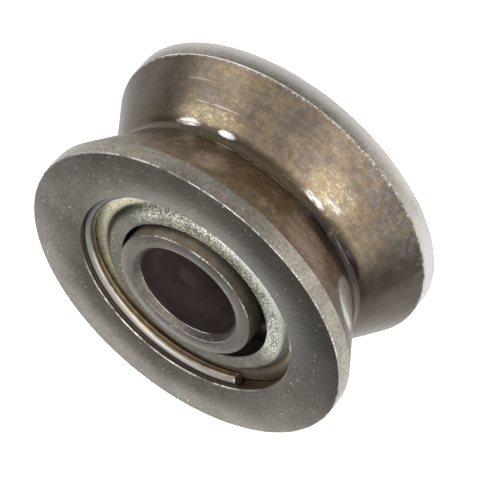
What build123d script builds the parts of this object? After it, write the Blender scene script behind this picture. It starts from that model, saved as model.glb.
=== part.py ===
from build123d import *
from math import cos, pi, radians, sin, tan
import os

# V groove wheel: a small ball bearing whose outer ring is turned with a V groove to run on a rail.
# Millimetres. The origin is the middle of the wheel, which spins about Z and stands on its lower face.

# Driving sizes of the rings
wheel_diameter = 13.0
wheel_width = 6.0
bore_diameter = 4.0
inner_wall = 0.54
ball_diameter = 2.0
ball_play = 0.01
outer_wall = 0.65

# Driving sizes of the V groove and the rims beside it
rim_land = 0.65
groove_angle = 120.0
groove_root_radius = 0.3
groove_edge_radius = 0.1
rim_chamfer = 0.04

# Driving sizes of the ball races and the inner ring's edges
race_relief = 0.04
inner_shoulder = 0.21
outer_shoulder = 0.5
bore_chamfer = 0.2
inner_edge_chamfer = 0.04

# Driving sizes of the face recess and the snap wire in it
seat_width = 0.39
recess_chamfer = 0.05
wire_diameter = 0.46
wire_cover = 0.2
wire_sink = 0.18
wire_play = 0.01
wire_gap_angle = 58.0
wire_end_chamfer = 0.05
upper_gap_bearing = 170.0
lower_gap_bearing = 40.0

# Driving sizes of the pressed shield, which the sprung wire pushes a little off centre
shield_thickness = 0.15
shield_gap = 0.32
shield_flange_width = 0.55
shield_wall_run = 0.25
shield_flat_depth = 0.38
shield_bend_radius = 0.28
shield_play = 0.02
shield_shift = 0.16

# Driving sizes of the riveted ribbon cage
cage_sheet = 0.2
cage_gap = 0.25
cage_bend_radius = 0.08
pocket_play = 0.05
rivet_diameter = 0.3
rivet_head_diameter = 0.5
rivet_head_height = 0.14
rivet_play = 0.01

# Radii and heights that follow: the balls and their races
face_z = wheel_width / 2
bore_radius = bore_diameter / 2
ball_radius = ball_diameter / 2
inner_race_radius = bore_radius + inner_wall
pitch_radius = inner_race_radius + ball_play + ball_radius
outer_race_radius = pitch_radius + ball_radius + ball_play
race_curve = ball_radius + race_relief
inner_land_radius = inner_race_radius + inner_shoulder
outer_land_radius = outer_race_radius - outer_shoulder

# The groove, whose flanks run down towards a point, or as far as the wall over the ball race lets them
half_angle = radians(groove_angle / 2)
rim_radius = wheel_diameter / 2
groove_edge_z = face_z - rim_land
groove_point_radius = rim_radius - groove_edge_z / tan(half_angle)
groove_floor_radius = outer_race_radius + outer_wall

# The recess, undercut for the shield's flange, with the wire over it
recess_radius = outer_land_radius + seat_width
wire_radius = wire_diameter / 2
wire_ring_radius = recess_radius + wire_sink - wire_radius
wire_z = face_z - wire_cover - wire_radius
flange_z = wire_z - wire_radius - wire_play
recess_floor_z = flange_z - shield_thickness
flange_radius = recess_radius - shield_play
flange_seat_radius = flange_radius + shield_shift + shield_play
shield_foot_radius = recess_radius - shield_flange_width
shield_bore_radius = inner_land_radius + shield_gap

# The cage, which takes as many balls as leave room between them for a rivet's head
pocket_radius = ball_radius + pocket_play
dome_radius = pocket_radius + cage_sheet
cage_inner_radius = inner_land_radius + cage_gap
cage_outer_radius = outer_land_radius - cage_gap
rivet_ring_radius = (cage_inner_radius + cage_outer_radius) / 2
rivet_radius = rivet_diameter / 2
rivet_head_radius = rivet_head_diameter / 2
ball_pitch = 2 * (dome_radius + cage_bend_radius) + rivet_head_diameter
ball_count = int(2 * pi * pitch_radius / ball_pitch)

# How near counts as the same place when corners and edges are picked
near = 1e-4


def section(inner_radius, outer_radius, low, high):
    """A rectangle of a turned part's section, drawn as radius across and height up."""
    middle = Pos((inner_radius + outer_radius) / 2, (low + high) / 2)
    return middle * Rectangle(outer_radius - inner_radius, high - low)


def turned(profile, arc=360.0):
    """Revolve a section about the wheel's axis."""
    return revolve(Plane.XZ * profile, axis=Axis.Z, revolution_arc=arc)


def corners(profile, radius, height):
    """The corners of a section that lie at a radius and at one height above or below the middle."""
    return profile.vertices().filter_by(
        lambda corner: abs(corner.X - radius) < near and abs(abs(corner.Y) - height) < near
    )


def ball_places():
    """Where the balls lie, evenly round the pitch circle from +X."""
    return PolarLocations(pitch_radius, ball_count).locations


def rivet_places():
    """Where the rivets lie, midway between the balls."""
    return PolarLocations(rivet_ring_radius, ball_count, start_angle=180.0 / ball_count).locations


def groove():
    """Section of the V groove, drawn past the rim so that its flanks cut the lands cleanly."""
    overrun = rim_land + groove_root_radius
    mouth_radius = rim_radius + overrun
    mouth_z = groove_edge_z + overrun * tan(half_angle)
    point = (groove_point_radius, 0)
    wedge = make_face(Polyline(point, (mouth_radius, mouth_z), (mouth_radius, -mouth_z), close=True))
    wedge -= section(bore_radius, groove_floor_radius, -mouth_z, mouth_z)
    nose_path = offset(wedge, amount=-groove_root_radius, kind=Kind.INTERSECTION)
    return offset(nose_path, amount=groove_root_radius)


def outer_ring():
    """Outer ring: V groove outside, race inside, and an undercut recess with a wire groove in each face."""
    profile = section(outer_land_radius, rim_radius, -face_z, face_z)
    profile = chamfer(corners(profile, rim_radius, face_z), rim_chamfer)
    profile -= groove()
    profile = fillet(corners(profile, rim_radius, groove_edge_z), groove_edge_radius)
    profile -= Pos(outer_race_radius - race_curve, 0) * Circle(race_curve)
    profile -= section(outer_land_radius, recess_radius, recess_floor_z, face_z)
    profile -= section(outer_land_radius, recess_radius, -face_z, -recess_floor_z)
    profile -= section(outer_land_radius, flange_seat_radius, recess_floor_z, wire_z)
    profile -= section(outer_land_radius, flange_seat_radius, -wire_z, -recess_floor_z)
    profile = chamfer(corners(profile, recess_radius, face_z), recess_chamfer)
    for height in (wire_z, -wire_z):
        profile -= Pos(wire_ring_radius, height) * Circle(wire_radius + wire_play)
    return turned(profile)


def inner_ring():
    """Inner ring: plain bore for the axle, with the inner ball race outside."""
    profile = section(bore_radius, inner_land_radius, -face_z, face_z)
    profile = chamfer(corners(profile, bore_radius, face_z), bore_chamfer)
    profile = chamfer(corners(profile, inner_land_radius, face_z), inner_edge_chamfer)
    profile -= Pos(inner_race_radius + race_curve, 0) * Circle(race_curve)
    return turned(profile)


def shield():
    """Upper shield: a pressed washer with a raised middle, whose flange lies on the recess floor."""
    flat_z = face_z - shield_flat_depth
    top = FilletPolyline(
        (shield_bore_radius, flat_z),
        (shield_foot_radius - shield_wall_run, flat_z),
        (shield_foot_radius, flange_z),
        (flange_radius, flange_z),
        radius=shield_bend_radius,
    )
    return turned(make_face(offset(top, amount=shield_thickness, side=Side.RIGHT)))


def snap_wire():
    """Upper snap wire: round spring wire in a C, open by the gap angle, which is centred on +X."""
    wire = turned(Pos(wire_ring_radius, wire_z) * Circle(wire_radius), arc=360.0 - wire_gap_angle)
    rounds = wire.edges().filter_by(GeomType.CIRCLE)
    ends = rounds.filter_by(lambda edge: abs(edge.radius - wire_radius) < near)
    return Rot(0, 0, wire_gap_angle / 2) * chamfer(ends, wire_end_chamfer)


def cage_half():
    """Upper half of the cage: a flat ribbon with a domed pocket pressed into it over each ball."""
    blank_radius = cage_outer_radius + dome_radius
    blank = Pos(0, 0, cage_sheet / 2) * Cylinder(blank_radius, cage_sheet)
    above = Pos(0, 0, dome_radius / 2) * Cylinder(2 * blank_radius, dome_radius)
    pressed = blank + [place * Sphere(dome_radius) & above for place in ball_places()]
    bends = pressed.edges().filter_by(GeomType.CIRCLE).filter_by(
        lambda edge: edge.radius < dome_radius and edge.center().Z > 0
    )
    pressed = fillet(bends, cage_bend_radius)
    half = pressed & turned(section(cage_inner_radius, cage_outer_radius, 0, dome_radius))
    half -= [place * Sphere(pocket_radius) for place in ball_places()]
    rivet_hole = Cylinder(rivet_radius + rivet_play, 4 * cage_sheet)
    return half - [place * rivet_hole for place in rivet_places()]


def rivet():
    """Rivet through both cage halves, with a low domed head on each side."""
    head_curve = (rivet_head_radius**2 + rivet_head_height**2) / (2 * rivet_head_height)
    upright = (Align.CENTER, Align.CENTER, Align.MIN)
    head = Pos(0, 0, cage_sheet) * Cylinder(rivet_head_radius, rivet_head_height, align=upright)
    head &= Pos(0, 0, cage_sheet + rivet_head_height - head_curve) * Sphere(head_curve)
    shank = Cylinder(rivet_radius, 2 * cage_sheet)
    return shank + head + mirror(head, about=Plane.XY)


def pushed(shape, bearing):
    """Move a shield towards the gap of its wire."""
    angle = radians(bearing)
    return Pos(shield_shift * cos(angle), shield_shift * sin(angle), 0) * shape


upper_half = cage_half()
nodes = {
    "outer_ring": outer_ring(),
    "inner_ring": inner_ring(),
    "cage_half_upper": upper_half,
    "cage_half_lower": mirror(upper_half, about=Plane.XY),
    "shield_upper": pushed(shield(), upper_gap_bearing),
    "shield_lower": pushed(mirror(shield(), about=Plane.XY), lower_gap_bearing),
    "snap_wire_upper": Rot(0, 0, upper_gap_bearing) * snap_wire(),
    "snap_wire_lower": Rot(0, 0, lower_gap_bearing) * mirror(snap_wire(), about=Plane.XY),
}
for number, place in enumerate(ball_places(), 1):
    nodes[f"ball_{number}"] = place * Sphere(ball_radius)
for number, place in enumerate(rivet_places(), 1):
    nodes[f"rivet_{number}"] = place * rivet()

os.makedirs("parts", exist_ok=True)
for name, shape in nodes.items():
    export_step(shape, f"parts/{name}.step")
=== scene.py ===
"""Looks of a V groove wheel: turned rings, pressed shields and snap wires, finished as oily steel with wear,
and with light and shade painted on in places.
"""
import logging
from dataclasses import dataclass
from enum import Enum
from math import acos, cos, degrees, hypot, radians, sin, tan

import bmesh
import bpy
from bmesh.types import BMEdge
from bpy.types import Material, MeshPolygon, Node, NodeSocket, NodeTree, Object
from mathutils import Matrix, Vector


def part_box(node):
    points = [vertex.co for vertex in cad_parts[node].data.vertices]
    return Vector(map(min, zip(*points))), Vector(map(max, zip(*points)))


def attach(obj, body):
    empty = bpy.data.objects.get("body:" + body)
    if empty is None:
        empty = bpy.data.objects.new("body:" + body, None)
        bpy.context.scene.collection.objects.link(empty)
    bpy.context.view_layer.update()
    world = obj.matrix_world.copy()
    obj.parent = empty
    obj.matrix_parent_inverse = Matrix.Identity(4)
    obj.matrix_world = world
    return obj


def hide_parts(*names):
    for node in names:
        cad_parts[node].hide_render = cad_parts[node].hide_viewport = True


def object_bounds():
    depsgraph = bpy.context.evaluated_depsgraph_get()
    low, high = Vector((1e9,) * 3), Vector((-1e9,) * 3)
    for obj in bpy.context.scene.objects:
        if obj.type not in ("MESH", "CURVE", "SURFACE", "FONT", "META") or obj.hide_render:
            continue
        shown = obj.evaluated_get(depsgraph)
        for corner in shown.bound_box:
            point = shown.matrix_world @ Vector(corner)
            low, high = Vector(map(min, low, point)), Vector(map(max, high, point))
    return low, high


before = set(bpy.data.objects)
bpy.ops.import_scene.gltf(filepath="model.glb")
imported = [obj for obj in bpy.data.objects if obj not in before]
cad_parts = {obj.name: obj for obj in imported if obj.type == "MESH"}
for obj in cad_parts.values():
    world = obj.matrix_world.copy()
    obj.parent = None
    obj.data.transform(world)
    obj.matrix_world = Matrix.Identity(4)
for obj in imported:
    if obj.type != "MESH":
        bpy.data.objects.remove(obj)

log = logging.getLogger("v_groove_wheel")

MM = 0.001
LAMP_GAIN = 4.0

# How finely pieces are turned, and how their edges are broken and shaded
CIRCLE_SIDES = 288
BROKEN_STEPS = 2
NORMAL_WEIGHT = 80

# How near counts as the same place, and which slopes of a face count as flat and as upright
SAME_PLACE = 1e-6
MARGIN = 0.01 * MM
FLAT = 0.99
UPRIGHT = 0.1

Colour = tuple[float, float, float]
Span = tuple[float, float]
Socket = NodeSocket
Value = Socket | float | tuple
Paint = Socket | Colour
CAD_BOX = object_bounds()


class Zone(Enum):
    """The surfaces of a ring that are finished in different ways."""

    FACE = 0
    LAND = 1
    GROOVE = 2
    RECESS = 3
    EDGE = 4
    RACE = 5
    BORE = 6
    MOUTH = 7


class Side(Enum):
    """The two faces of the wheel, by the sign of their height."""

    UPPER = 1
    LOWER = -1


@dataclass(frozen=True)
class Corner:
    """A corner of a turned section, in metres from the axis and from the middle plane."""

    radius: float
    height: float


def deselect() -> None:
    """Leave nothing selected, so that the next operator acts on its own piece alone."""
    if bpy.context.mode != "OBJECT":
        bpy.ops.object.mode_set(mode="OBJECT")
    bpy.ops.object.select_all(action="DESELECT")


def pick(piece: Object) -> None:
    """Select one piece alone and make it the active one."""
    deselect()
    bpy.context.view_layer.objects.active = piece
    piece.select_set(True)


def heading(bearing: float, elevation: float = 0.0) -> Vector:
    """Unit vector towards a bearing, and a rise above the level, in degrees."""
    turn, rise = radians(bearing), radians(elevation)
    return Vector((cos(rise) * cos(turn), cos(rise) * sin(turn), sin(rise)))


def both_halves(radius: float, height: float) -> list[Corner]:
    """The corners at one radius and height in the upper and the lower half of a section."""
    return [Corner(radius, height), Corner(radius, -height)]


def arc(centre: Corner, radius: float, start: float, end: float, steps: int) -> list[Corner]:
    """Place corners along an arc of a section.

    Args:
        centre: the arc's centre.
        radius: its radius in metres.
        start: its first angle in degrees, from straight outwards towards the upper face.
        end: its last angle in degrees.
        steps: how many chords it is drawn with.

    Returns:
        The corners, both ends included.
    """
    angles = [radians(start + (end - start) * step / steps) for step in range(steps + 1)]
    return [Corner(centre.radius + radius * cos(a), centre.height + radius * sin(a)) for a in angles]


def bend_width(radius: float, turn: float) -> float:
    """Distance from a corner to the ends of the round of a given radius that turns by an angle in degrees."""
    return radius * tan(radians(turn) / 2)


class Turning:
    """A piece on the lathe: a circle that is extruded from corner to corner of its section."""

    def __init__(self, name: str, start: Corner, sides: int = CIRCLE_SIDES) -> None:
        """Add the first circle.

        Args:
            name: name of the finished object.
            start: first corner of the section.
            sides: how many straight sides the circle has.
        """
        deselect()
        bpy.ops.mesh.primitive_circle_add(vertices=sides, radius=start.radius, location=(0, 0, start.height))
        bpy.ops.object.transform_apply(location=True, rotation=True, scale=True)
        self.piece = bpy.context.object
        self.piece.name = name
        self.piece.data.name = name
        self.at = start
        bpy.ops.object.mode_set(mode="EDIT")
        bpy.ops.mesh.select_mode(type="EDGE")
        bpy.ops.mesh.select_all(action="SELECT")

    def draw(self, corners: list[Corner]) -> None:
        """Extrude the last circle through the next corners of the section."""
        for corner in corners:
            rise = corner.height - self.at.height
            spread = corner.radius / self.at.radius
            bpy.ops.mesh.extrude_region_move(TRANSFORM_OT_translate={"value": (0, 0, rise)})
            bpy.ops.transform.resize(value=(spread, spread, 1), center_override=(0, 0, corner.height))
            self.at = corner

    def merge(self) -> None:
        """Merge the circles that lie on each other and point every face outwards."""
        bpy.ops.mesh.select_all(action="SELECT")
        bpy.ops.mesh.remove_doubles(threshold=SAME_PLACE)
        bpy.ops.mesh.normals_make_consistent(inside=False)

    def round_off(self, corners: list[Corner], width: float, steps: int) -> None:
        """Bevel the circular edges that run through some corners of the section.

        Args:
            corners: the corners to cut or round.
            width: distance from the corner to each end of the bevel, in metres.
            steps: one for a chamfer, more for a round.
        """
        bpy.ops.mesh.select_all(action="DESELECT")
        mesh = bmesh.from_edit_mesh(self.piece.data)
        for edge in mesh.edges:
            edge.select_set(any(self.runs_through(edge, corner) for corner in corners))
        bmesh.update_edit_mesh(self.piece.data)
        bpy.ops.mesh.bevel(offset=width, segments=steps, affect="EDGES", clamp_overlap=True)

    @staticmethod
    def runs_through(edge: BMEdge, corner: Corner) -> bool:
        """Whether both ends of an edge lie at a corner of the section."""
        return all(
            abs(end.co.z - corner.height) < SAME_PLACE and abs(end.co.xy.length - corner.radius) < SAME_PLACE
            for end in edge.verts
        )

    def take_off(self) -> Object:
        """Leave edit mode and give back the piece."""
        bpy.ops.object.mode_set(mode="OBJECT")
        return self.piece


def apply_modifier(piece: Object, kind: str, **settings: object) -> None:
    """Add a modifier to a piece and apply it at once.

    Args:
        piece: the object to change.
        kind: Blender's name for the modifier's type.
        settings: the modifier's settings by name.
    """
    pick(piece)
    modifier = piece.modifiers.new(kind.title(), kind)
    for setting, value in settings.items():
        setattr(modifier, setting, value)
    bpy.ops.object.modifier_apply(modifier=modifier.name)


def soften(piece: Object, width: float, sharper_than: float = 40.0) -> None:
    """Break a piece's sharp edges and shade it smooth between them.

    Args:
        piece: the object to finish.
        width: width of the broken edges in metres.
        sharper_than: the least turn in degrees that counts as a sharp edge.
    """
    if width > 0:
        limits = {"limit_method": "ANGLE", "angle_limit": radians(sharper_than)}
        apply_modifier(piece, "BEVEL", width=width, segments=BROKEN_STEPS, **limits)
    pick(piece)
    bpy.ops.object.shade_smooth_by_angle(angle=radians(sharper_than))
    apply_modifier(piece, "WEIGHTED_NORMAL", weight=NORMAL_WEIGHT, keep_sharp=True)


class Tree:
    """A node tree, with one short method for each step that the finishes and the studio share."""

    def __init__(self, tree: NodeTree) -> None:
        """Take hold of a tree and empty it."""
        self.nodes = tree.nodes
        self.links = tree.links
        self.nodes.clear()

    def feed(self, socket: Socket, value: Value) -> None:
        """Link a socket to another, or set its value."""
        if isinstance(value, Socket):
            self.links.new(value, socket)
        else:
            socket.default_value = value

    def add(self, kind: str, inputs: dict[str | int, Value], **settings: object) -> Node:
        """Add a node.

        Args:
            kind: Blender's name for it, without the words that all of them start with.
            inputs: sockets or values for its inputs, by their names or numbers.
            settings: its other settings by name.

        Returns:
            The node.
        """
        node = self.nodes.new(f"ShaderNode{kind}")
        for setting, value in settings.items():
            setattr(node, setting, value)
        for place, value in inputs.items():
            self.feed(node.inputs[place], value)
        return node

    def math(self, operation: str, first: Value, second: Value = 0.0, clamp: bool = False) -> Socket:
        """One step of arithmetic on numbers or sockets."""
        return self.add("Math", {0: first, 1: second}, operation=operation, use_clamp=clamp).outputs["Value"]

    def vector(self, operation: str, first: Value, second: Value = (0, 0, 0)) -> Socket:
        """One step of arithmetic on vectors."""
        outputs = self.add("VectorMath", {0: first, 1: second}, operation=operation).outputs
        return outputs["Value" if operation in ("LENGTH", "DOT_PRODUCT") else "Vector"]

    def times(self, first: Value, *others: Value) -> Value:
        """The product of several values."""
        for other in others:
            first = self.math("MULTIPLY", first, other)
        return first

    def most(self, first: Value, *others: Value) -> Value:
        """The greatest of several values."""
        for other in others:
            first = self.math("MAXIMUM", first, other)
        return first

    def plus(self, first: Value, second: Value) -> Socket:
        """The sum of two values."""
        return self.math("ADD", first, second)

    def less(self, first: Value, second: Value) -> Socket:
        """The first value less the second."""
        return self.math("SUBTRACT", first, second)

    def span(self, value: Value, low: float, high: float) -> Socket:
        """Smooth step from 0 at one value to 1 at another, which may be the smaller one."""
        ends = {"Value": value, "From Min": low, "From Max": high}
        return self.add("MapRange", ends, interpolation_type="SMOOTHSTEP").outputs["Result"]

    def step(self, value: Value, start: Value, width: float) -> Socket:
        """Straight rise from 0 to 1 over a width, which starts at a value that may be a socket."""
        return self.math("DIVIDE", self.less(value, start), width, clamp=True)


class Graph(Tree):
    """A finish's node tree, which measures places on the wheel and ends in one shader."""

    def __init__(self, name: str) -> None:
        """Start a material with nothing in it but a shader and its output."""
        self.material = bpy.data.materials.new(name)
        self.material.use_nodes = True
        super().__init__(self.material.node_tree)
        self.shader = self.add("BsdfPrincipled", {})
        self.add("OutputMaterial", {"Surface": self.shader.outputs["BSDF"]})
        self.object_place = self.add("TexCoord", {}).outputs["Object"]

    def place(self) -> Socket:
        """Place on the piece in millimetres."""
        return self.vector("MULTIPLY", self.object_place, (1 / MM, 1 / MM, 1 / MM))

    def radius(self, centre: tuple[float, float] = (0.0, 0.0)) -> Socket:
        """Distance in millimetres from the wheel's axis, or from an upright through another place."""
        moved = self.vector("SUBTRACT", self.place(), (*centre, 0))
        return self.vector("LENGTH", self.vector("MULTIPLY", moved, (1, 1, 0)))

    def height(self) -> Socket:
        """Height above the wheel's middle plane in millimetres."""
        return self.vector("DOT_PRODUCT", self.place(), (0, 0, 1))

    def around(self) -> Socket:
        """Unit vector from the axis towards the place, which turns with its bearing."""
        return self.vector("NORMALIZE", self.vector("MULTIPLY", self.object_place, (1, 1, 0)))

    def towards(self, bearing: float) -> Socket:
        """How near the place lies to a bearing: 1 at it, 0 a quarter turn off and -1 across from it."""
        turn = radians(bearing)
        return self.vector("DOT_PRODUCT", self.around(), (cos(turn), sin(turn), 0))

    def noise(self, scale: float, detail: float = 3.0, roughness: float = 0.55, shift: float = 0.0) -> Socket:
        """Cloudy noise over the piece.

        Args:
            scale: how many clouds there are to a millimetre.
            detail: how many finer layers are added.
            roughness: how strong the finer layers are.
            shift: moves the pattern, so that two noises of one scale differ.

        Returns:
            The noise, from 0 to 1.
        """
        moved = self.vector("ADD", self.place(), (shift, shift, shift))
        inputs = {"Vector": moved, "Scale": scale, "Detail": detail, "Roughness": roughness}
        return self.add("TexNoise", inputs).outputs["Fac"]

    def streaks(self, turns: float, fineness: float, detail: float = 3.0, shift: float = 0.0) -> Socket:
        """Noise drawn out round the axis, as turning and rolling leave it.

        Args:
            turns: how many streaks follow each other on a radian.
            fineness: how many streaks lie side by side in a millimetre.
            detail: how many finer layers are added.
            shift: moves the pattern.

        Returns:
            The noise, from 0 to 1.
        """
        bearing = self.vector("MULTIPLY", self.around(), (turns, turns, 0))
        rise = self.vector("MULTIPLY", self.place(), (0, 0, fineness))
        moved = self.vector("ADD", self.vector("ADD", bearing, rise), (shift, shift, shift))
        inputs = {"Vector": moved, "W": self.times(self.radius(), fineness), "Scale": 1.0, "Detail": detail}
        return self.add("TexNoise", inputs, noise_dimensions="4D").outputs["Fac"]

    def specks(self, spacing: float, size: float, share: Value) -> Socket:
        """Small round spots scattered over the piece.

        Args:
            spacing: how far apart they lie on average, in millimetres.
            size: their radius in millimetres.
            share: how many of the places hold a spot, from 0 to 1.

        Returns:
            1 inside a spot and 0 outside.
        """
        cells = self.add("TexVoronoi", {"Vector": self.place(), "Scale": 1 / spacing}).outputs
        chosen = self.math("LESS_THAN", self.vector("DOT_PRODUCT", cells["Color"], (1, 0, 0)), share)
        return self.times(chosen, self.span(cells["Distance"], size / spacing, 0.5 * size / spacing))

    def mix(self, share: Value, first: Paint, second: Paint, blend: str = "MIX") -> Socket:
        """Mix two colours.

        Args:
            share: how much of the second colour shows.
            first: a colour or a colour socket.
            second: the other one.
            blend: how the second colour is laid over the first.

        Returns:
            The mixed colour.
        """
        inputs = {"Factor": share, "A": self.opaque(first), "B": self.opaque(second)}
        return self.add("Mix", inputs, data_type="RGBA", blend_type=blend).outputs["Result"]

    @staticmethod
    def opaque(colour: Paint) -> Value:
        """A colour with its alpha, or a socket as it is."""
        return colour if isinstance(colour, Socket) else (*colour, 1.0)

    def tint(self, colour: Paint, tint: Paint) -> Socket:
        """One colour multiplied by another."""
        return self.mix(1.0, colour, tint, "MULTIPLY")

    def shade(self, colour: Paint, value: Value, depth: float) -> Socket:
        """Darken and lighten a colour with a noise, by up to a share of itself."""
        return self.tint(colour, self.mix(self.span(value, 0.3, 0.7), (1 - depth,) * 3, (1 + depth,) * 3))

    def gain(self, colour: Paint, where: Value, gain: float) -> Socket:
        """Darken or lighten a colour where a mask says so."""
        return self.tint(colour, self.mix(where, (1.0,) * 3, (gain,) * 3))

    def uneven(self, least: float, noise: Socket, rise: float = 0.1) -> Socket:
        """A roughness that rises from its least value with a noise."""
        return self.plus(least, self.times(noise, rise))

    def bump(self, height: Socket, depth: float, normal: Socket | None = None) -> Socket:
        """Relief from a height of 0 to 1.

        Args:
            height: the socket that holds the height.
            depth: how deep the relief is, in metres.
            normal: a coarser relief that this one is laid on.

        Returns:
            The bent normal.
        """
        inputs = {"Height": height, "Distance": depth}
        if normal is not None:
            inputs["Normal"] = normal
        return self.add("Bump", inputs).outputs["Normal"]

    def set(self, **values: Value) -> None:
        """Feed the shader's inputs, each named in words joined by underscores."""
        for socket in self.shader.inputs:
            key = socket.name.replace(" ", "_").lower()
            if key in values:
                self.feed(socket, values[key])


@dataclass(frozen=True)
class Stretch:
    """A stretch of a turned piece, by the bearing of its middle, half its turn and its blur, in degrees; its
    gain paints shade on it below 1 and light above 1.
    """

    bearing: float
    half_turn: float
    blur: float
    gain: float = 1.0
    both_sides: bool = False

    def mask(self, g: Graph) -> Socket:
        """1 on the stretch, and across from it where both sides count, and 0 elsewhere."""
        nearness = g.towards(self.bearing)
        if self.both_sides:
            nearness = g.math("ABSOLUTE", nearness)
        inner, outer = max(self.half_turn - self.blur, 0), self.half_turn + self.blur
        return g.span(nearness, cos(radians(outer)), cos(radians(inner)))


@dataclass(frozen=True)
class Patch:
    """An oval of the groove that holds a stain, wear, oil or a painted highlight, by bearing in degrees and
    height in millimetres.
    """

    bearing: float
    half_turn: float
    height: float
    half_height: float
    blur: float = 0.4
    strength: float = 1.0

    def mask(self, g: Graph) -> Socket:
        """1 in the middle of the oval, fading to 0 at its edge."""
        across = g.math("DIVIDE", g.towards(self.bearing + 90), sin(radians(self.half_turn)))
        along = g.math("DIVIDE", g.less(g.height(), self.height), self.half_height)
        off = g.plus(g.times(across, across), g.times(along, along))
        oval = g.span(off, 1.0, (1.0 - self.blur) ** 2)
        return g.times(oval, g.math("GREATER_THAN", g.towards(self.bearing), 0.0), self.strength)


Stretches = tuple[Stretch, ...]
Patches = tuple[Patch, ...]


def together(g: Graph, places: Stretches | Patches) -> Value:
    """One mask of several stretches or patches."""
    return g.most(*(place.mask(g) for place in places))


def vary(g: Graph, colour: Paint, stretches: Stretches) -> Paint:
    """Paint shade and light on a colour: darken or lighten it on each of several stretches."""
    for stretch in stretches:
        colour = g.gain(colour, stretch.mask(g), stretch.gain)
    return colour


@dataclass(frozen=True)
class TurnedSteel:
    """Turned and hardened steel: warm grey, satin, mottled, with pale specks where its skin is chipped, with
    painted light and shade on stretches of it and a painted reflection on the lower rim.
    """

    name: str
    dark: Colour
    light: Colour
    roughness: float = 0.36
    speck_share: float = 0.44
    # Stretches of the rim darkened as painted shade or lightened as painted light, each by its gain.
    stretches: Stretches = ()
    # Painted reflection: the lower rim paled towards its outer edge all round, and across its width on one
    # side.
    low_rim_sheen: float = 0.0
    sheen_edge_heights: Span = (-2.40, -3.0)
    sheen_side: Stretch = Stretch(196.0, 28.0, 24.0)
    sheen_side_heights: Span = (-2.2, -2.5)
    sheen_side_gain: float = 1.3
    coat: float = 0.0
    coat_roughness: float = 0.12
    green_tint: Colour = (0.95, 1.01, 0.93)
    purple_tint: Colour = (1.05, 0.98, 1.02)
    speck: Colour = (0.85, 0.83, 0.78)
    sheen_colour: Colour = (0.84, 0.83, 0.80)
    grain_depth: float = 2.0e-6
    turning_depth: float = 0.5e-6

    def build(self) -> Material:
        """Make the material."""
        g = Graph(self.name)
        colour = g.mix(g.span(g.noise(0.8, 5.0, 0.6), 0.32, 0.68), self.dark, self.light)
        greenish = g.span(g.noise(4.5, 2.0, 0.5, 2.0), 0.35, 0.65)
        colour = g.tint(colour, g.mix(greenish, self.green_tint, self.purple_tint))
        mottle = g.noise(9.0, 3.0, 0.65)
        turning = g.streaks(3.0, 14.0, 2.0)
        colour = g.shade(g.shade(colour, mottle, 0.24), turning, 0.06)
        # Painted shade and light on stretches of the rim.
        colour = vary(g, colour, self.stretches)
        # Painted reflection that pales the lower rim.
        colour = g.mix(self.sheen_share(g), colour, self.sheen_colour)
        small = g.specks(0.2, 0.022, self.speck_share)
        large = g.specks(0.45, 0.036, 0.5 * self.speck_share)
        colour = g.mix(g.most(small, large), colour, self.speck)
        relief = g.bump(mottle, self.grain_depth, g.bump(turning, self.turning_depth))
        rough = g.uneven(self.roughness - 0.05, g.noise(3.0, 4.0))
        g.set(base_color=colour, metallic=1.0, roughness=rough, normal=relief)
        g.set(coat_weight=self.coat, coat_roughness=self.coat_roughness)
        return g.material

    def sheen_share(self, g: Graph) -> Socket:
        """How much of the lower rim is painted pale as a reflection: its outer edge all round, its whole
        width at one side.
        """
        edge = g.times(g.span(g.height(), *self.sheen_edge_heights), self.low_rim_sheen)
        side = g.times(self.sheen_side.mask(g), g.span(g.height(), *self.sheen_side_heights))
        return g.most(edge, g.times(side, self.sheen_side_gain * self.low_rim_sheen))


@dataclass(frozen=True)
class WornGlintEdge:
    """An edge with wear and a painted highlight, broken into fine beads by dents, with unbroken stretches of
    the painted highlight on the lower rim.
    """

    name: str
    # The stretch of the edge that gets the painted highlight.
    rubbed_and_lit: Stretch | None = None
    bead_low: float = 0.40
    # Stretches of the lower rim where the painted highlight runs unbroken.
    smooth: Stretch = Stretch(312.0, 20.0, 14.0, both_sides=True)
    # Painted highlight colour, where the edge's wear also shows pale.
    bright: Colour = (0.90, 0.87, 0.82)
    dull: Colour = (0.15, 0.126, 0.105)
    lower_heights: Span = (0.1, -0.1)
    mouth_heights: Span = (2.50, 2.70)
    upper_share: float = 0.12
    bead_depth: float = 2e-6

    def build(self) -> Material:
        """Make the material."""
        g = Graph(self.name)
        fine, coarse = g.noise(24.0, 2.0, 0.6), g.noise(12.0, 3.0, 0.7)
        lower = g.span(g.height(), *self.lower_heights)
        beads = g.plus(g.times(coarse, lower), g.times(fine, g.less(1.0, lower)))
        gaps = g.span(g.noise(1.4, 3.0, 0.6, 8.0), 0.30, 0.56)
        smooth = g.times(lower, self.smooth.mask(g))
        low = g.less(self.bead_low, g.times(smooth, 0.2))
        # The painted highlight: full on the lower half and at the upper face, faint elsewhere.
        whole = g.most(lower, g.span(g.height(), *self.mouth_heights), self.upper_share)
        share = g.times(g.step(beads, low, 0.10), g.most(gaps, smooth), whole)
        if self.rubbed_and_lit:
            share = g.times(share, self.rubbed_and_lit.mask(g))
        rough = g.less(0.42, g.times(share, 0.2))
        relief = g.bump(beads, self.bead_depth)
        g.set(base_color=g.mix(share, self.dull, self.bright), metallic=1.0, roughness=rough, normal=relief)
        return g.material


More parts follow.
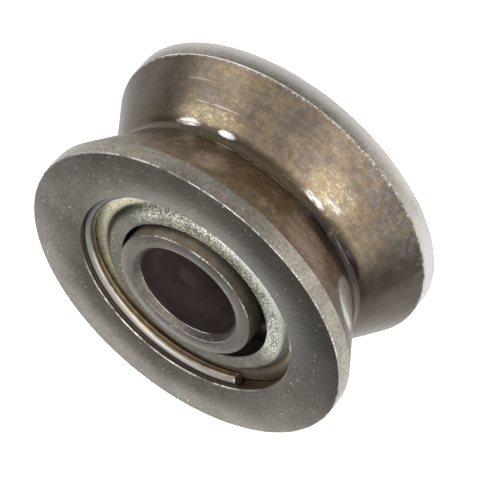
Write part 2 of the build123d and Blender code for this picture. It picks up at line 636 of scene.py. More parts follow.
@dataclass(frozen=True)
class OilyBronze:
    """The groove's flanks: hardened steel run in to an olive brown, mottled, gold with wear and oily, with
    painted shade, painted highlights and painted glints in the oil.
    """

    name: str = "oily_groove"
    olive: Colour = (0.290, 0.222, 0.150)
    grey: Colour = (0.222, 0.180, 0.146)
    rust: Colour = (0.255, 0.175, 0.130)
    # Painted shade and painted highlight colours of the upper flank.
    near_shade_brown: Colour = (0.165, 0.116, 0.072)
    near_highlight_pink: Colour = (0.345, 0.256, 0.198)
    # Painted shade at the two ends of the groove.
    end_shade_grey: Colour = (0.068, 0.059, 0.051)
    gold: Colour = (0.780, 0.640, 0.380)
    score: Colour = (0.820, 0.720, 0.630)
    purple: Colour = (0.160, 0.136, 0.134)
    pale_stain: Colour = (0.260, 0.230, 0.215)
    # Dried oil in the root, dimmed further as painted shade.
    root_oil_and_shade: Colour = (0.080, 0.058, 0.034)
    oil: Colour = (0.030, 0.021, 0.021)
    # Painted reflections streaked along the dark oil.
    oil_reflection: Colour = (0.300, 0.300, 0.330)
    # Painted white highlight of the oil.
    glint_white: Colour = (0.95, 0.96, 0.95)
    # Painted highlight of the lower flank's rim.
    lip_glint: Colour = (0.90, 0.87, 0.80)
    pit: Colour = (0.560, 0.500, 0.400)
    grazing_tint: Colour = (0.80, 0.77, 0.73)
    # The two ends of the groove, which get painted shade.
    ends: Stretches = (Stretch(6.0, 34.0, 24.0), Stretch(186.0, 27.0, 22.0))
    # Painted highlight patches on the upper flank.
    highlight_patches: Patches = (Patch(293.0, 8.0, 1.45, 0.75, 0.8), Patch(250.0, 14.0, 1.50, 0.95, 0.8))
    # Gold wear in bands by the root, with painted light over them, and a painted highlight line along the
    # root.
    gold_bands: Patches = (Patch(308.0, 20.0, -0.58, 0.34, 0.6), Patch(253.0, 13.0, -0.80, 0.75, 0.7))
    root_glint_line: Patch = Patch(286.0, 32.0, 0.20, 0.055, 0.5)
    scores: Patches = (Patch(307.0, 13.0, -0.95, 0.035), Patch(318.0, 6.0, -1.62, 0.03, 0.4, 0.6))
    stain: Patch = Patch(231.0, 30.0, -2.10, 0.95, 0.7, 0.85)
    oil_smears: Patches = (Patch(240.0, 23.0, 0.30, 0.50), Patch(226.0, 14.0, 0.05, 0.45))
    # Painted highlights of the oil: spots in the root and a run on the upper flank.
    root_drop_glint: Patch = Patch(298.3, 4.4, -0.25, 0.12, 0.5)
    root_film_glint: Patch = Patch(316.5, 7.0, -0.26, 0.15, 0.9)
    smears: Patches = (Patch(256.6, 6.5, -0.30, 0.13, 0.95, 0.9), Patch(250.5, 5.4, -0.60, 0.14, 0.95, 0.55))
    run: Patch = Patch(220.5, 11.0, 1.15, 0.85, 0.4)
    # Heights of the upper flank, which gets painted shade.
    upper_heights: Span = (0.1, 0.5)
    lip_heights: Span = (-2.25, -2.33)
    root_radii: Span = (5.42, 5.26)
    rust_strength: float = 0.55
    end_shade_strength: float = 0.85
    root_glint_strength: float = 0.75
    # Painted light over the gold bands.
    band_sheen_strength: float = 0.16
    score_strength: float = 0.42
    pit_strength: float = 0.8
    end_gloss: float = 0.13
    oil_gloss: float = 0.15
    oil_coat: float = 0.35
    dry_coat: float = 0.15
    coat_roughness: float = 0.08
    grain_depth: float = 1.2e-6
    oil_relief: float = 1.0e-5

    def build(self) -> Material:
        """Make the material."""
        g = Graph(self.name)
        root, ends, oil, glint_white = self.root(g), together(g, self.ends), self.pool(g), self.oil_glints(g)
        stain = g.mix(g.span(g.noise(5.0, 3.0, 0.6, 12.0), 0.44, 0.56), self.purple, self.pale_stain)
        colour = g.mix(self.stains(g), self.ground(g, ends), stain)
        # The root dimmed with dried oil and painted shade.
        colour = g.mix(root, colour, self.root_oil_and_shade)
        colour = g.mix(self.rubbed_and_lit(g), colour, self.gold)
        colour = g.mix(g.times(self.scored(g), self.score_strength), colour, self.score)
        # Painted reflections streaked along the dark oil.
        oil_reflections = g.times(g.span(g.streaks(3.0, 9.0, 3.0, 9.0), 0.60, 0.68), 0.7)
        colour = g.mix(oil, colour, g.mix(oil_reflections, self.oil, self.oil_reflection))
        # Painted white highlights of the oil.
        colour = g.mix(glint_white, colour, self.glint_white)
        grain = g.noise(15.0, 3.0, 0.7)
        colour = g.shade(colour, grain, 0.16)
        # Nicks on the lower flank's rim painted bright as its highlight.
        colour = g.mix(self.lip_nick_glints(g), colour, self.lip_glint)
        colour = g.mix(g.times(g.specks(0.34, 0.022, 0.22), self.pit_strength), colour, self.pit)
        rough = g.uneven(0.27, g.noise(2.5, 4.0, 0.6, 1.3), 0.16)
        rough = g.less(rough, g.times(ends, self.end_gloss))
        rough = g.less(rough, g.times(g.most(glint_white, oil), self.oil_gloss))
        coat = g.most(g.times(g.most(root, oil), self.oil_coat), self.dry_coat)
        wavy = g.bump(g.noise(2.2, 3.0, 0.5, 5.0), self.oil_relief)
        g.set(base_color=colour, metallic=1.0, roughness=rough, normal=g.bump(grain, self.grain_depth))
        g.set(specular_tint=g.opaque(self.grazing_tint))
        g.set(coat_weight=coat, coat_roughness=self.coat_roughness, coat_normal=wavy)
        return g.material

    def ground(self, g: Graph, ends: Value) -> Socket:
        """The flanks' colour, with painted shade and painted highlights.

        Args:
            g: the finish's tree.
            ends: mask of the two sides of the wheel, where the groove gets painted shade in grey.

        Returns:
            Olive patches on grey; the upper flank browner and dimmed as painted shade, with painted highlight
            patches; greyer and dimmed at the ends as painted shade.
        """
        colour = g.mix(g.span(g.noise(0.8, 5.0, 0.62, 3.1), 0.34, 0.60), self.grey, self.olive)
        rusty = g.span(g.noise(1.5, 4.0, 0.7, 9.4), 0.50, 0.72)
        colour = g.mix(g.times(rusty, self.rust_strength), colour, self.rust)
        colour = g.shade(colour, g.noise(3.4, 5.0, 0.72, 21.0), 0.22)
        colour = g.shade(colour, g.streaks(5.0, 7.0, 4.0), 0.10)
        clouds = g.span(g.noise(1.2, 5.0, 0.68, 14.0), 0.50, 0.72)
        # The upper flank's painted shade, clouded and patched with painted highlight.
        upper_flank_shading = g.mix(clouds, self.near_shade_brown, self.near_highlight_pink)
        highlit = g.times(together(g, self.highlight_patches), g.span(g.noise(2.2, 4.0, 0.7, 19.0), 0.26, 0.50))
        upper_flank_shading = g.shade(g.mix(highlit, upper_flank_shading, self.near_highlight_pink), g.noise(3.4, 5.0, 0.72, 23.0), 0.26)
        colour = g.mix(g.span(g.height(), *self.upper_heights), colour, upper_flank_shading)
        # Painted shade at the ends.
        end_shade = g.shade(self.end_shade_grey, g.noise(1.3, 4.0, 0.6, 17.0), 0.25)
        return g.mix(g.times(ends, self.end_shade_strength), colour, end_shade)

    def lip_nick_glints(self, g: Graph) -> Socket:
        """Nicks along the lower flank's rim, painted bright as its edge's highlight."""
        nicks = g.step(g.noise(10.0, 3.0, 0.7, 27.0), 0.52, 0.08)
        return g.times(nicks, g.span(g.height(), *self.lip_heights))

    def root(self, g: Graph) -> Socket:
        """The rounded root, dark with the oil that has dried in it and with painted shade."""
        worn_through = g.times(g.span(g.noise(2.0, 3.0, 0.6, 4.0), 0.55, 0.75), 0.5)
        return g.times(g.span(g.radius(), *self.root_radii), g.less(1.0, worn_through))

    def rubbed_and_lit(self, g: Graph) -> Socket:
        """Gold flecked bands by the root, from wear, with painted light over them, and a thin painted
        highlight line along the root.
        """
        bands = together(g, self.gold_bands)
        flecks = g.span(g.streaks(38.0, 40.0, 3.0, 7.0), 0.50, 0.64)
        broken = g.times(bands, flecks, g.span(g.noise(3.0, 3.0, 0.6, 31.0), 0.38, 0.52))
        # Painted highlight line along the root.
        line = g.times(self.root_glint_line.mask(g), g.span(g.streaks(9.0, 3.0, 3.0), 0.30, 0.60))
        return g.most(broken, g.times(bands, self.band_sheen_strength), g.times(line, self.root_glint_strength))

    def scored(self, g: Graph) -> Socket:
        """Thin pale scores that run along the lower flank."""
        return g.times(together(g, self.scores), g.span(g.streaks(12.0, 9.0, 3.0, 41.0), 0.36, 0.52))

    def stains(self, g: Graph) -> Socket:
        """Purple grey stains on the lower flank, near its rim."""
        return g.times(self.stain.mask(g), g.span(g.noise(3.0, 5.0, 0.7, 2.0), 0.40, 0.56))

    def pool(self, g: Graph) -> Socket:
        """Dark smears of oil lying along the root."""
        return g.times(together(g, self.oil_smears), g.span(g.noise(1.5, 4.0, 0.62, 6.0), 0.32, 0.48))

    def oil_glints(self, g: Graph) -> Socket:
        """Painted white highlights of the oil: spots in the root and a run of oil on the upper flank."""
        across = g.span(g.streaks(9.0, 9.0, 4.0, 5.0), 0.36, 0.58)
        root_film_glint = g.times(self.root_film_glint.mask(g), g.plus(0.12, g.times(across, 0.70)))
        smeared = g.times(together(g, self.smears), g.span(g.streaks(16.0, 14.0, 4.0, 11.0), 0.34, 0.56))
        run = g.times(self.run.mask(g), g.span(g.streaks(3.0, 11.0, 3.0, 3.0), 0.28, 0.42))
        return g.most(self.root_drop_glint.mask(g), root_film_glint, smeared, run)


@dataclass(frozen=True)
class BlastedSteel:
    """Sheet steel blasted matt, with painted light: bright grains and more sparks on its lit side, painted
    shade on the other, a painted reflection on its shoulder, bare at its flange.
    """

    name: str
    centre: tuple[float, float]
    dark: Colour = (0.190, 0.184, 0.142)
    light: Colour = (0.950, 0.940, 0.810)
    # Painted shade: grains on the side away from the light.
    dull_dark: Colour = (0.138, 0.130, 0.102)
    shaded_light: Colour = (0.222, 0.214, 0.176)
    spark: Colour = (0.97, 0.96, 0.85)
    olive_dark: Colour = (0.470, 0.415, 0.290)
    olive_light: Colour = (0.980, 0.930, 0.720)
    flange_brown: Colour = (0.420, 0.350, 0.265)
    # Painted reflection on the step's shoulder.
    shoulder: Colour = (0.680, 0.685, 0.645)
    # Painted highlight along the flange's ridge.
    ridge: Colour = (0.900, 0.860, 0.680)
    # The side that gets painted light; the rest gets painted shade.
    bright_side: Stretch = Stretch(258.0, 75.0, 16.0)
    polished_side: Stretch = Stretch(226.0, 42.0, 22.0)
    shaded_side: Stretch = Stretch(358.0, 24.0, 14.0, 0.62)
    ridge_side: Stretch = Stretch(35.0, 50.0, 20.0)
    olive_side: Stretch = Stretch(12.0, 52.0, 20.0)
    step_radius: float = 3.72
    step_widths: Span = (0.17, 0.09)
    reflection_strength: float = 0.85
    flange_radii: Span = (3.82, 3.90)
    ridge_radius: float = 3.93
    ridge_widths: Span = (0.06, 0.02)
    metallic: float = 0.85
    roughness: float = 0.40
    grain_depth: float = 1.6e-5

    def build(self) -> Material:
        """Make the material."""
        g = Graph(self.name)
        radius = g.radius(self.centre)
        grain = g.noise(14.0, 3.0, 0.7)
        fine = g.span(grain, 0.42, 0.60)
        # Painted light on the lit side and painted shade elsewhere.
        bright = self.bright_side.mask(g)
        dull = g.mix(fine, self.dull_dark, self.shaded_light)
        colour = g.mix(bright, dull, g.mix(fine, self.dark, self.light))
        colour = g.shade(colour, g.noise(0.9, 3.0), 0.16)
        # Painted glints: sparks, denser on the lit side.
        small = g.specks(0.11, 0.024, g.plus(0.10, g.times(bright, 0.38)))
        colour = g.mix(g.most(small, g.specks(0.24, 0.034, 0.40)), colour, self.spark)
        # Painted reflection on the step's shoulder, on one side.
        on_step = g.span(g.math("ABSOLUTE", g.less(radius, self.step_radius)), *self.step_widths)
        polished = g.times(on_step, self.polished_side.mask(g), self.reflection_strength)
        colour = g.mix(polished, colour, g.shade(self.shoulder, grain, 0.15))
        colour = g.gain(colour, g.times(on_step, self.shaded_side.mask(g)), self.shaded_side.gain)
        on_flange = g.span(radius, *self.flange_radii)
        colour = g.mix(on_flange, colour, self.flange(g, g.span(grain, 0.36, 0.54)))
        # Painted highlight along the flange's ridge, on one side.
        on_ridge = g.span(g.math("ABSOLUTE", g.less(radius, self.ridge_radius)), *self.ridge_widths)
        broken = g.span(g.noise(11.0, 3.0, 0.7, 6.0), 0.36, 0.50)
        colour = g.mix(g.times(on_ridge, self.ridge_side.mask(g), broken), colour, self.ridge)
        relief = g.bump(grain, self.grain_depth)
        g.set(base_color=colour, metallic=self.metallic, roughness=self.roughness, normal=relief)
        return g.material

    def flange(self, g: Graph, fine: Socket) -> Socket:
        """The flange's colour: olive and sparkling across from the wire's gap, and brown elsewhere."""
        brown = g.shade(self.flange_brown, g.streaks(3.0, 12.0), 0.25)
        return g.mix(self.olive_side.mask(g), brown, g.mix(fine, self.olive_dark, self.olive_light))


@dataclass(frozen=True)
class SpringSteel:
    """Drawn spring wire, with a painted highlight along its back and painted shade in brown on its inner
    side.
    """

    name: str = "drawn_wire"
    dark: Colour = (0.30, 0.285, 0.275)
    light: Colour = (0.52, 0.50, 0.485)
    # Painted shade of the wire's inner side.
    inner_shade_brown: Colour = (0.420, 0.350, 0.265)
    # Painted glint at one end of the wire.
    end_glint: Colour = (0.95, 0.93, 0.88)
    # Painted light and shade on stretches of the back, and painted shade on a stretch of the inner side.
    back_light_and_shade: Stretches = (Stretch(88.0, 40.0, 20.0, 1.25), Stretch(338.0, 34.0, 16.0, 0.18))
    inner_shade_stretches: Stretches = (Stretch(0.0, 40.0, 24.0, 0.45),)
    glinting_end: Stretch = Stretch(141.8, 0.7, 0.4)
    back_heights: Span = (2.67, 2.76)
    middle_radius: float = 4.40
    roughness: float = 0.27
    mark_depth: float = 0.6e-6

    def build(self) -> Material:
        """Make the material."""
        g = Graph(self.name)
        marks = g.streaks(2.0, 22.0, 3.0)
        # Painted highlight of the back, lightened and darkened on stretches.
        pale = vary(g, g.mix(marks, self.dark, self.light), self.back_light_and_shade)
        # Painted shade of the inner side, darkened further on one stretch.
        brown = g.shade(self.inner_shade_brown, g.noise(3.0, 4.0, 0.6, 4.0), 0.25)
        brown = vary(g, brown, self.inner_shade_stretches)
        back = g.span(g.math("ABSOLUTE", g.height()), *self.back_heights)
        outside = g.math("GREATER_THAN", g.radius(), self.middle_radius)
        # Painted highlight on the back and outside, painted shade on the inner side.
        colour = g.mix(g.most(back, outside), brown, pale)
        # Painted glint at one end of the wire.
        colour = g.mix(self.glinting_end.mask(g), colour, self.end_glint)
        rough = g.uneven(self.roughness, g.noise(4.0, 4.0))
        g.set(base_color=colour, metallic=1.0, roughness=rough, normal=g.bump(marks, self.mark_depth))
        return g.material


@dataclass(frozen=True)
class SmoothSteel:
    """Steel drawn, ground or polished smooth, with faint marks along its length."""

    name: str
    dark: Colour
    light: Colour
    roughness: float = 0.2
    metallic: float = 1.0
    mark_depth: float = 0.6e-6
    # A lighter patch.
    lighter_patch: Patch | None = None
    lighter_patch_colour: Colour = (0.36, 0.30, 0.29)
    mouth_gain: float = 1.0
    mouth_heights: Span = (1.9, 2.5)
    # Stretches that paint light or shade on the piece.
    stretches: Stretches = ()

    def build(self) -> Material:
        """Make the material."""
        g = Graph(self.name)
        marks = g.streaks(2.0, 22.0, 3.0)
        clouds = g.span(g.noise(1.1, 4.0, 0.6, 4.0), 0.3, 0.7)
        colour = g.mix(g.times(g.plus(marks, clouds), 0.5), self.dark, self.light)
        if self.mouth_gain != 1.0:
            colour = g.gain(colour, g.span(g.height(), *self.mouth_heights), self.mouth_gain)
        colour = vary(g, colour, self.stretches)
        if self.lighter_patch:
            colour = g.mix(self.lighter_patch.mask(g), colour, self.lighter_patch_colour)
        rough = g.uneven(self.roughness, g.noise(4.0, 4.0))
        relief = g.bump(marks, self.mark_depth)
        g.set(base_color=colour, metallic=self.metallic, roughness=rough, normal=relief)
        return g.material


@dataclass
class Ring:
    """A turned ring whose surfaces are finished in different ways."""

    finishes: dict[Zone, Material]

    def zone_of(self, polygon: MeshPolygon) -> Zone:
        """Tell a face's zone, as each kind of ring does from its place and its slope."""
        raise NotImplementedError

    def dress(self, ring: Object) -> None:
        """Give each face of the mesh the finish of its zone."""
        for zone in Zone:
            ring.data.materials.append(self.finishes[zone])
        for polygon in ring.data.polygons:
            polygon.material_index = self.zone_of(polygon).value


@dataclass
class OuterRing(Ring):
    """The wheel itself: V groove and rims outside, ball race inside, and a stepped recess in each face."""

    name: str = "groove_wheel_ring"
    land: float = 0.65 * MM
    groove_angle: float = 120.0
    root_radius: float = 5.21 * MM
    root_round: float = 0.3 * MM
    edge_round: float = 0.1 * MM
    rim_chamfer: float = 0.04 * MM
    recess_radius: float = 4.45 * MM
    recess_chamfer: float = 0.05 * MM
    recess_depth: float = 0.82 * MM
    seat_radius: float = 4.61 * MM
    land_radius: float = 4.06 * MM
    race_radius: float = 4.56 * MM
    race_curve: float = 1.04 * MM
    wire_ring: float = 4.40 * MM
    wire_depth: float = 0.43 * MM
    wire_round: float = 0.24 * MM
    broken_edge: float = 0.012 * MM
    undercut: float = 0.2 * MM
    floor_margin: float = 0.05 * MM
    lip_width: float = 0.02 * MM
    arc_steps: int = 8

    def __post_init__(self) -> None:
        """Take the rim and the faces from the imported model."""
        low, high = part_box("outer_ring")
        self.rim_radius = (high.x - low.x) / 2
        self.face = high.z
        self.groove_edge = self.face - self.land

    def half_section(self, sign: int) -> list[Corner]:
        """Corners from the groove's root over the rim and one face down to the ball race.

        Args:
            sign: 1 for the upper half and -1 for the lower one.

        Returns:
            The corners in order.
        """
        groove_depth = self.rim_radius - self.root_radius
        root_half = self.groove_edge - groove_depth * tan(radians(self.groove_angle / 2))
        opening = degrees(acos((self.recess_radius - self.wire_ring) / self.wire_round))
        closing = degrees(acos((self.seat_radius - self.wire_ring) / self.wire_round))
        wire = Corner(self.wire_ring, self.face - self.wire_depth)
        race = Corner(self.race_radius - self.race_curve, 0)
        race_half = degrees(acos((self.land_radius - race.radius) / self.race_curve))
        corners = [
            Corner(self.root_radius, root_half),
            Corner(self.rim_radius, self.groove_edge),
            Corner(self.rim_radius, self.face),
            Corner(self.recess_radius, self.face),
            *arc(wire, self.wire_round, opening, -closing, self.arc_steps),
            Corner(self.seat_radius, self.face - self.recess_depth),
            Corner(self.land_radius, self.face - self.recess_depth),
            *arc(race, self.race_curve, race_half, 0, self.arc_steps),
        ]
        return [Corner(c.radius, sign * c.height) for c in corners]

    def build(self) -> Object:
        """Turn the ring and finish each of its surfaces."""
        upper = self.half_section(1)
        lower = self.half_section(-1)
        outline = upper + lower[-2::-1]
        work = Turning(self.name, outline[0])
        work.draw(outline[1:] + outline[:1])
        work.merge()
        work.round_off(both_halves(self.rim_radius, self.face), self.rim_chamfer, steps=2)
        work.round_off(both_halves(self.recess_radius, self.face), self.recess_chamfer, steps=2)
        turn = 90 - self.groove_angle / 2
        lips = both_halves(self.rim_radius, self.groove_edge)
        work.round_off(lips, bend_width(self.edge_round, turn), steps=3)
        work.round_off([upper[0], lower[0]], bend_width(self.root_round, turn), steps=8)
        ring = work.take_off()
        soften(ring, self.broken_edge)
        self.dress(ring)
        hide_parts("outer_ring")
        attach(ring, "outer")
        return ring

    def zone_of(self, polygon: MeshPolygon) -> Zone:
        """Tell a face's zone from its place and its slope."""
        radius = polygon.center.xy.length
        height = abs(polygon.center.z)
        slope = abs(polygon.normal.z)
        by_mouth = abs(radius - self.recess_radius) < 2 * self.recess_chamfer
        if by_mouth and height > self.face - self.recess_chamfer:
            return Zone.FACE if slope > FLAT else Zone.MOUTH
        if radius < self.recess_radius + self.undercut and height < self.face - self.rim_chamfer:
            inside = height < self.face - self.recess_depth - self.floor_margin
            return Zone.RACE if inside else Zone.RECESS
        if height > self.face - self.rim_chamfer - MARGIN:
            return Zone.FACE if slope > FLAT else Zone.EDGE
        if height > self.groove_edge + MARGIN:
            return Zone.LAND
        if height > self.groove_edge - self.lip_width:
            return Zone.EDGE
        return Zone.GROOVE


@dataclass
class InnerRing(Ring):
    """The still ring on the axle: plain bore, ball race outside, ground faces level with the wheel's."""

    name: str = "bore_ring"
    bore_radius: float = 2.0 * MM
    bore_chamfer: float = 0.2 * MM
    outer_edge: float = 0.04 * MM
    race_radius: float = 2.54 * MM
    race_curve: float = 1.04 * MM
    broken_edge: float = 0.012 * MM
    chamfer_slopes: Span = (0.69, 0.72)
    race_steps: int = 16

    def __post_init__(self) -> None:
        """Take the ring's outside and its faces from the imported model."""
        low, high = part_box("inner_ring")
        self.land_radius = (high.x - low.x) / 2
        self.face = high.z

    def build(self) -> Object:
        """Turn the ring and finish each of its surfaces."""
        race = Corner(self.race_radius + self.race_curve, 0)
        race_half = degrees(acos((race.radius - self.land_radius) / self.race_curve))
        faces = [Corner(self.land_radius, self.face), Corner(self.bore_radius, self.face)]
        faces += [Corner(self.bore_radius, -self.face), Corner(self.land_radius, -self.face)]
        track = arc(race, self.race_curve, 180 + race_half, 180 - race_half, self.race_steps)
        work = Turning(self.name, faces[0])
        work.draw(faces[1:] + track + faces[:1])
        work.merge()
        work.round_off(faces[1:3], self.bore_chamfer, steps=1)
        work.round_off([faces[0], faces[3]], self.outer_edge, steps=2)
        ring = work.take_off()
        soften(ring, self.broken_edge)
        self.dress(ring)
        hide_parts("inner_ring")
        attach(ring, "inner")
        return ring

    def zone_of(self, polygon: MeshPolygon) -> Zone:
        """Tell a face's zone from its place and its slope."""
        radius = polygon.center.xy.length
        slope = abs(polygon.normal.z)
        if radius < self.bore_radius + MARGIN and slope < UPRIGHT:
            return Zone.BORE
        if slope > FLAT:
            return Zone.FACE
        if radius < self.bore_radius + self.bore_chamfer + self.broken_edge:
            low, high = self.chamfer_slopes
            return Zone.FACE if low < slope < high else Zone.EDGE
        if abs(polygon.center.z) > self.face - self.outer_edge - self.broken_edge:
            return Zone.MOUTH
        return Zone.RACE


@dataclass
class Shield:
    """A pressed washer that closes a face of the bearing: raised blasted middle, step and lower flange."""

    side: Side
    push_bearing: float
    push: float = 0.16 * MM
    bore_radius: float = 3.07 * MM
    flat_radius: float = 3.65 * MM
    foot_radius: float = 3.90 * MM
    flange_radius: float = 4.43 * MM
    bend_radius: float = 0.28 * MM
    thickness: float = 0.15 * MM
    broken_edge: float = 0.03 * MM

    def build(self) -> Object:
        """Press the washer and put it in its recess, pushed to one side by its wire."""
        node = f"shield_{self.side.name.lower()}"
        low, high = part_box(node)
        flat = high.z if self.side is Side.UPPER else low.z
        flange = low.z + self.thickness if self.side is Side.UPPER else high.z - self.thickness
        section = [Corner(self.bore_radius, flat), Corner(self.flat_radius, flat)]
        section += [Corner(self.foot_radius, flange), Corner(self.flange_radius, flange)]
        work = Turning(f"pressed_{node}", section[0])
        work.draw(section[1:])
        step_run = self.foot_radius - self.flat_radius
        slope = degrees(acos(step_run / hypot(step_run, flat - flange)))
        work.round_off(section[1:3], bend_width(self.bend_radius, slope), steps=8)
        bpy.ops.mesh.select_all(action="SELECT")
        bpy.ops.mesh.normals_make_consistent(inside=False)
        shield = work.take_off()
        self.face_outwards(shield)
        apply_modifier(shield, "SOLIDIFY", thickness=self.thickness, offset=-1, use_even_offset=True)
        bearing = radians(self.push_bearing)
        centre = (self.push * cos(bearing), self.push * sin(bearing))
        shield.data.transform(Matrix.Translation((*centre, 0)))
        soften(shield, self.broken_edge)
        finish = BlastedSteel(f"blasted_{node}", (centre[0] / MM, centre[1] / MM))
        shield.data.materials.append(finish.build())
        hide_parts(node)
        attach(shield, "outer")
        return shield

    def face_outwards(self, sheet: Object) -> None:
        """Turn the thin sheet's faces towards the outside of the wheel."""
        if sum(polygon.normal.z for polygon in sheet.data.polygons) * self.side.value < 0:
            sheet.data.flip_normals()


@dataclass
class SnapWire:
    """Round spring wire bent to a C, sprung into its groove over a shield's flange."""

    side: Side
    gap_bearing: float
    finish: Material
    ring_radius: float = 4.40 * MM
    gap_angle: float = 58.0
    end_chamfer: float = 0.05 * MM
    steps_round: int = 360
    steps_across: int = 24

    def build(self) -> Object:
        """Bend the wire: a whole ring is made, its gap is cut out and its ends are closed and broken."""
        node = f"snap_wire_{self.side.name.lower()}"
        low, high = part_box(node)
        height = (low.z + high.z) / 2
        wire_radius = (high.z - low.z) / 2
        deselect()
        bpy.ops.mesh.primitive_torus_add(
            major_segments=self.steps_round,
            minor_segments=self.steps_across,
            major_radius=self.ring_radius,
            minor_radius=wire_radius,
            location=(0, 0, height),
        )
        bpy.ops.object.transform_apply(location=True, rotation=True, scale=True)
        wire = bpy.context.object
        wire.name = f"spring_{node}"
        wire.data.name = wire.name
        bpy.ops.object.mode_set(mode="EDIT")
        self.cut_gap(wire)
        self.close_ends(wire)
        bpy.ops.object.mode_set(mode="OBJECT")
        soften(wire, 0, sharper_than=50.0)
        wire.data.materials.append(self.finish)
        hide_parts(node)
        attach(wire, "outer")
        return wire

    def cut_gap(self, wire: Object) -> None:
        """Delete the faces of the ring that lie in the gap."""
        bpy.ops.mesh.select_mode(type="FACE")
        bpy.ops.mesh.select_all(action="DESELECT")
        middle = heading(self.gap_bearing).xy
        mesh = bmesh.from_edit_mesh(wire.data)
        for face in mesh.faces:
            turn = face.calc_center_median().xy.angle(middle)
            face.select_set(turn < radians(self.gap_angle / 2))
        bmesh.update_edit_mesh(wire.data)
        bpy.ops.mesh.delete(type="FACE")

    def close_ends(self, wire: Object) -> None:
        """Fill the two open ends and break their edges."""
        bpy.ops.mesh.select_mode(type="EDGE")
        for _ in range(2):
            bpy.ops.mesh.select_all(action="DESELECT")
            mesh = bmesh.from_edit_mesh(wire.data)
            self.select_rim(next(edge for edge in mesh.edges if edge.is_boundary))
            bmesh.update_edit_mesh(wire.data)
            bpy.ops.mesh.edge_face_add()
            bpy.ops.mesh.bevel(offset=self.end_chamfer, segments=BROKEN_STEPS, affect="EDGES")
        bpy.ops.mesh.select_all(action="SELECT")
        bpy.ops.mesh.normals_make_consistent(inside=False)

    @staticmethod
    def select_rim(first: BMEdge) -> None:
        """Select the open loop of edges that holds one edge."""
        loop, grown = set(), {first}
        while grown != loop:
            loop = grown
            corners = {vertex for edge in loop for vertex in edge.verts}
            grown = {edge for vertex in corners for edge in vertex.link_edges if edge.is_boundary}
        for edge in loop:
            edge.select_set(True)


@dataclass
class Bearing:
    """What runs between the rings: the balls and the riveted cage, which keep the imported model's meshes."""

    finishes: dict[str, Material]

    def dress(self) -> None:
        """Give each hidden node the finish that is kept under the start of its name."""
        for name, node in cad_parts.items():
            for start, finish in self.finishes.items():
                if name.startswith(start):
                    node.data.materials.clear()
                    node.data.materials.append(finish)
                    log.info("dressed %s with %s", name, finish.name)


@dataclass(frozen=True)
class SoftBox:
    """A soft studio lamp aimed at the wheel."""

    name: str
    bearing: float
    elevation: float
    distance: float
    width: float
    height: float
    glow: float

    def build(self) -> Object:
        """Hang the lamp and aim it at the wheel's middle."""
        lamp = bpy.data.lights.new(self.name, "AREA")
        lamp.shape = "RECTANGLE"
        lamp.size = self.width
        lamp.size_y = self.height
        lamp.energy = LAMP_GAIN * self.glow * self.width * self.height
        box = bpy.data.objects.new(self.name, lamp)
        bpy.context.scene.collection.objects.link(box)
        way = heading(self.bearing, self.elevation)
        box.location = way * self.distance
        box.rotation_euler = way.to_track_quat("Z", "Y").to_euler()
        return box


@dataclass(frozen=True)
class Camera:
    """The camera, which sees the wheel from the photograph's side."""

    elevation: float = 30.376
    roll: float = -139.07
    distance: float = 175.876 * MM
    aim: tuple[float, float, float] = (-0.2045 * MM, -0.065 * MM, -0.116 * MM)
    lens: float = 375.0
    sensor: float = 36.0
    nearest: float = 0.01
    farthest: float = 10.0

    def build(self) -> Object:
        """Place the camera and make it the scene's."""
        data = bpy.data.cameras.new("camera")
        data.lens = self.lens
        data.sensor_width = self.sensor
        data.clip_start = self.nearest
        data.clip_end = self.farthest
        camera = bpy.data.objects.new("camera", data)
        bpy.context.scene.collection.objects.link(camera)
        pitch = Matrix.Rotation(radians(90 - self.elevation), 4, "X")
        turn = pitch @ Matrix.Rotation(radians(self.roll), 4, "Z")
        back = turn.to_3x3() @ Vector((0, 0, 1))
        camera.matrix_world = Matrix.Translation(Vector(self.aim) + back * self.distance) @ turn
        bpy.context.scene.camera = camera
        return camera


